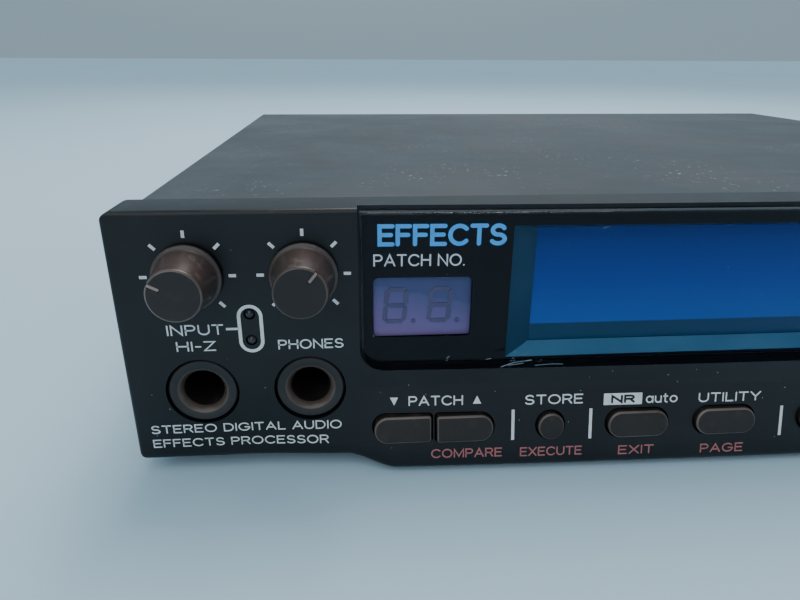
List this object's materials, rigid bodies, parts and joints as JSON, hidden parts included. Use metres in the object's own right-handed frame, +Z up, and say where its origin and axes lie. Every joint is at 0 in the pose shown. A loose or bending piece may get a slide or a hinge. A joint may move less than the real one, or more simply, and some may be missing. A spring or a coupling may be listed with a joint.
{
  "type": "rack effects unit",
  "caption": "Half-rack audio effects unit with level knobs, jack sockets, a blue display behind a glossy lens, a bank of sprung buttons and rear connectors.",
  "frame": {"origin": "centre of the bounding box in plan, at the underside of the feet", "axes": "+X to the right seen from the front, +Y from the front panel towards the rear connectors, +Z up"},
  "size_m": [0.207, 0.1756, 0.0463],
  "materials": {
    "panel_plastic": "satin black moulding",
    "lens_acrylic": "polished, smoked black",
    "case_paint": "fine textured black paint",
    "jack_plastic": "satin black",
    "lcd_glass": "blue transmissive display glass",
    "light_diffuser": "translucent white",
    "plated_steel": "tin plated",
    "circuit_board": "green solder mask",
    "chip_plastic": "moulded black",
    "digit_block": "tinted segment face",
    "clear_led": "clear epoxy",
    "foot_rubber": "matt black rubber",
    "screw_zinc": "zinc plated",
    "ribbon_plastic": "grey insulation",
    "bare_aluminium": "bare",
    "control_plastic": "worn matt black"
  },
  "bodies": {
    "unit": {"backup_battery": "plated_steel", "chassis_tray": "case_paint", "control_board": "circuit_board", "control_jack": "jack_plastic", "converter_chip": "chip_plastic", "cord_hook": "jack_plastic", "cover_screw_left_front": "screw_zinc", "cover_screw_left_rear": "screw_zinc", "cover_screw_right_front": "screw_zinc", "cover_screw_right_rear": "screw_zinc", "dc_socket": "jack_plastic", "display_lens": "lens_acrylic", "dsp_chip": "chip_plastic", "filter_capacitor": "chip_plastic", "foot_left_front": "foot_rubber", "foot_left_rear": "foot_rubber", "foot_right_front": "foot_rubber", "foot_right_rear": "foot_rubber", "front_board": "circuit_board", "front_panel": "panel_plastic", "heat_sink": "bare_aluminium", "input_jack": "jack_plastic", "input_pot": "bare_aluminium", "lcd_backlight": "light_diffuser", "lcd_frame": "plated_steel", "lcd_glass": "lcd_glass", "led_display": "digit_block", "level_led_lower": "clear_led", "level_led_upper": "clear_led", "main_board": "circuit_board", "memory_chip": "chip_plastic", "midi_in_socket": "jack_plastic", "midi_out_socket": "jack_plastic", "output_left_jack": "jack_plastic", "output_right_jack": "jack_plastic", "phones_jack": "jack_plastic", "phones_pot": "bare_aluminium", "power_switch": "plated_steel", "regulator": "chip_plastic", "ribbon_cable": "ribbon_plastic", "top_cover": "case_paint"},
    "input_control": {"input_knob": "control_plastic", "input_shaft": "bare_aluminium"},
    "phones_control": {"phones_knob": "control_plastic", "phones_shaft": "bare_aluminium"},
    "bypass_key": {"bypass_button": "control_plastic"},
    "effect_down_key": {"effect_down_button": "control_plastic"},
    "effect_up_key": {"effect_up_button": "control_plastic"},
    "exit_key": {"exit_button": "control_plastic"},
    "page_key": {"page_button": "control_plastic"},
    "parameter_down_key": {"parameter_down_button": "control_plastic"},
    "parameter_up_key": {"parameter_up_button": "control_plastic"},
    "patch_down_key": {"patch_down_button": "control_plastic"},
    "patch_up_key": {"patch_up_button": "control_plastic"},
    "power_key": {"power_button": "control_plastic"},
    "store_key": {"store_button": "control_plastic"},
    "value_down_key": {"value_down_button": "control_plastic"},
    "value_up_key": {"value_up_button": "control_plastic"}
  },
  "joints": [
    {"name": "input_turn", "type": "hinge", "parent": "unit", "child": "input_control", "pos_m": [-0.0916, -0.0832, 0.0361], "axis": [0, 1, 0], "range_deg": [-72, 198]},
    {"name": "phones_turn", "type": "hinge", "parent": "unit", "child": "phones_control", "pos_m": [-0.074, -0.0832, 0.0361], "axis": [0, 1, 0], "range_deg": [-174, 96]},
    {"name": "bypass_press", "type": "slide", "parent": "unit", "child": "bypass_key", "axis": [0, 1, 0], "range_m": [0, 0.0006], "stiffness_N_per_m": 300},
    {"name": "effect_down_press", "type": "slide", "parent": "unit", "child": "effect_down_key", "axis": [0, 1, 0], "range_m": [0, 0.0006], "stiffness_N_per_m": 300},
    {"name": "effect_up_press", "type": "slide", "parent": "unit", "child": "effect_up_key", "axis": [0, 1, 0], "range_m": [0, 0.0006], "stiffness_N_per_m": 300},
    {"name": "exit_press", "type": "slide", "parent": "unit", "child": "exit_key", "axis": [0, 1, 0], "range_m": [0, 0.0006], "stiffness_N_per_m": 300},
    {"name": "page_press", "type": "slide", "parent": "unit", "child": "page_key", "axis": [0, 1, 0], "range_m": [0, 0.0006], "stiffness_N_per_m": 300},
    {"name": "parameter_down_press", "type": "slide", "parent": "unit", "child": "parameter_down_key", "axis": [0, 1, 0], "range_m": [0, 0.0006], "stiffness_N_per_m": 300},
    {"name": "parameter_up_press", "type": "slide", "parent": "unit", "child": "parameter_up_key", "axis": [0, 1, 0], "range_m": [0, 0.0006], "stiffness_N_per_m": 300},
    {"name": "patch_down_press", "type": "slide", "parent": "unit", "child": "patch_down_key", "axis": [0, 1, 0], "range_m": [0, 0.0006], "stiffness_N_per_m": 300},
    {"name": "patch_up_press", "type": "slide", "parent": "unit", "child": "patch_up_key", "axis": [0, 1, 0], "range_m": [0, 0.0006], "stiffness_N_per_m": 300},
    {"name": "power_press", "type": "slide", "parent": "unit", "child": "power_key", "axis": [0, -1, 0], "range_m": [0, 0.0022], "stiffness_N_per_m": 200},
    {"name": "store_press", "type": "slide", "parent": "unit", "child": "store_key", "axis": [0, 1, 0], "range_m": [0, 0.0006], "stiffness_N_per_m": 300},
    {"name": "value_down_press", "type": "slide", "parent": "unit", "child": "value_down_key", "axis": [0, 1, 0], "range_m": [0, 0.0006], "stiffness_N_per_m": 300},
    {"name": "value_up_press", "type": "slide", "parent": "unit", "child": "value_up_key", "axis": [0, 1, 0], "range_m": [0, 0.0006], "stiffness_N_per_m": 300}
  ]
}
